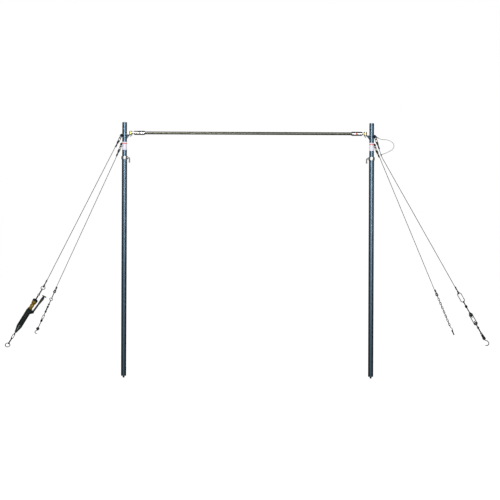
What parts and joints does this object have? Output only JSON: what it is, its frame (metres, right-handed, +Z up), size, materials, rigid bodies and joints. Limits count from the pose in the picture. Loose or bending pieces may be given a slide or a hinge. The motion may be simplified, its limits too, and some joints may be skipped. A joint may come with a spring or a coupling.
{
  "type": "horizontal bar",
  "caption": "Gymnastics horizontal bar: round steel rail on telescoping posts, held by wire-rope stays with a ratchet tensioner, turnbuckles, chain and hooks.",
  "frame": {"origin": "midway between the posts, on the plane of the foot pins' tips", "axes": "+X along the rail to the right seen from the front, +Y from front to back, +Z up"},
  "size_m": [4.403, 2.5206, 2.48],
  "materials": {
    "post_steel": "gloss blue-grey",
    "rail_steel": "bare steel, fine lengthwise polish",
    "sleeve_chrome": "bright",
    "brass": "turned",
    "zinc": "bright zinc",
    "label": "pale film with a red band",
    "mark": "red film",
    "rope": "dark and light strands",
    "sleeved_rope": "olive-grey sleeved strand",
    "galvanised": "dark weathered galvanising",
    "black_steel": "black, slightly greenish",
    "yellow_zinc": "yellow passivated zinc",
    "grip": "matte black"
  },
  "bodies": {
    "posts": {"left_foot_plug": "post_steel", "right_foot_plug": "post_steel", "left_outer_tube": "post_steel", "right_outer_tube": "post_steel", "left_collar": "zinc", "right_collar": "zinc"},
    "head": {"left_inner_tube": "post_steel", "right_inner_tube": "post_steel", "tube_caps": "post_steel", "left_bar_bracket": "post_steel", "right_bar_bracket": "post_steel", "label_wraps": "label", "left_end_sleeve": "sleeve_chrome", "right_end_sleeve": "sleeve_chrome", "rail_necks": "sleeve_chrome", "left_swivel_block": "brass", "right_swivel_block": "brass", "sleeve_marks": "mark", "rail": "rail_steel", "left_ears": "post_steel", "right_ears": "post_steel", "stay_shackles": "black_steel", "quick_links": "black_steel", "thimbles": "galvanised", "ferrules": "black_steel", "left_front_rope": "rope", "left_rear_rope": "rope", "right_front_rope": "rope", "right_rear_rope": "rope", "left_front_joint": "galvanised", "tensioner_upper_screw": "black_steel", "left_rear_links": "black_steel", "left_rear_upper_screw": "black_steel", "right_front_snap_link": "galvanised", "right_front_upper_screw": "black_steel", "right_rear_chain": "black_steel", "right_rear_hook": "black_steel", "right_safety_tail": "sleeved_rope", "right_tail_fittings": "black_steel"},
    "left_lock": {"left_lock_handle": "zinc"},
    "right_lock": {"right_lock_handle": "zinc"},
    "left_pin": {"left_rail_pin": "zinc"},
    "right_pin": {"right_rail_pin": "zinc"},
    "tensioner": {"tensioner_barrel": "yellow_zinc", "tensioner_housing": "black_steel"},
    "lever": {"tensioner_lever": "galvanised", "tensioner_grip": "grip"},
    "tensioner_end": {"tensioner_lower_screw": "black_steel", "left_front_links": "black_steel", "left_front_anchor_ring": "galvanised"},
    "rear_turnbuckle": {"left_rear_turnbuckle": "galvanised"},
    "rear_end": {"left_rear_lower_screw": "black_steel", "left_rear_swivel": "black_steel"},
    "rear_hook": {"left_rear_hook": "galvanised"},
    "snap_gate": {"right_front_snap_gate": "galvanised"},
    "front_turnbuckle": {"right_front_turnbuckle": "galvanised"},
    "front_end": {"right_front_lower_screw": "black_steel", "right_front_swivel": "black_steel"},
    "front_hook": {"right_front_hook": "galvanised"}
  },
  "joints": [
    {"name": "height", "type": "slide", "parent": "posts", "child": "head", "axis": [0, 0, 1], "range_m": [-0.05, 0.3]},
    {"name": "left_lock_turn", "type": "hinge", "parent": "posts", "child": "left_lock", "pos_m": [-1.165, 0, 2.135], "axis": [1, 0, 0], "range_deg": [-180, 180]},
    {"name": "right_lock_turn", "type": "hinge", "parent": "posts", "child": "right_lock", "pos_m": [1.165, 0, 2.135], "axis": [1, 0, 0], "range_deg": [-180, 180]},
    {"name": "left_pin_lift", "type": "slide", "parent": "head", "child": "left_pin", "axis": [0, 0, 1], "range_m": [0, 0.07]},
    {"name": "right_pin_lift", "type": "slide", "parent": "head", "child": "right_pin", "axis": [0, 0, 1], "range_m": [0, 0.07]},
    {"name": "tensioner_turn", "type": "hinge", "parent": "head", "child": "tensioner", "pos_m": [-2.00555, -1.04388, 0.66332], "axis": [-0.4018, -0.5363, -0.7423], "range_deg": [-1080, 1800]},
    {"name": "lever_fold", "type": "hinge", "parent": "tensioner", "child": "lever", "pos_m": [-1.95887, -1.03988, 0.66885], "axis": [0, 0.8106, -0.5856], "range_deg": [0, 110]},
    {"name": "tensioner_screw", "type": "slide", "parent": "head", "child": "tensioner_end", "axis": [-0.4018, -0.5363, -0.7423], "range_m": [-0.0105, 0.0175]},
    {"name": "rear_turn", "type": "hinge", "parent": "head", "child": "rear_turnbuckle", "pos_m": [-2.06947, 1.08142, 0.62933], "axis": [-0.3968, 0.4936, -0.7739], "range_deg": [-1800, 1800]},
    {"name": "rear_screw", "type": "slide", "parent": "head", "child": "rear_end", "axis": [-0.3968, 0.4936, -0.7739], "range_m": [-0.0125, 0.0125]},
    {"name": "rear_hook_swivel", "type": "hinge", "parent": "rear_end", "child": "rear_hook", "pos_m": [-2.18454, 1.22456, 0.40489], "axis": [-0.3968, 0.4936, -0.7739], "continuous": true},
    {"name": "snap_gate_swing", "type": "hinge", "parent": "head", "child": "snap_gate", "pos_m": [1.98518, -0.97762, 0.80835], "axis": [0, -0.8466, 0.5322], "range_deg": [0, 30], "stiffness_Nm_per_rad": 0.2, "springref_deg": -17.19},
    {"name": "front_turn", "type": "hinge", "parent": "head", "child": "front_turnbuckle", "pos_m": [2.05535, -1.08955, 0.63027], "axis": [0.3924, -0.4895, -0.7787], "range_deg": [-1800, 1800]},
    {"name": "front_screw", "type": "slide", "parent": "head", "child": "front_end", "axis": [0.3924, -0.4895, -0.7787], "range_m": [-0.015, 0.015]},
    {"name": "front_hook_swivel", "type": "hinge", "parent": "front_end", "child": "front_hook", "pos_m": [2.14561, -1.20213, 0.45117], "axis": [0.3924, -0.4895, -0.7787], "continuous": true}
  ],
  "couplings": [
    {"joint": "tensioner_turn", "follows": "tensioner_screw", "rad_per_m": 1795.2},
    {"joint": "rear_turn", "follows": "rear_screw", "rad_per_m": 2513.3},
    {"joint": "front_turn", "follows": "front_screw", "rad_per_m": 2094.4}
  ]
}
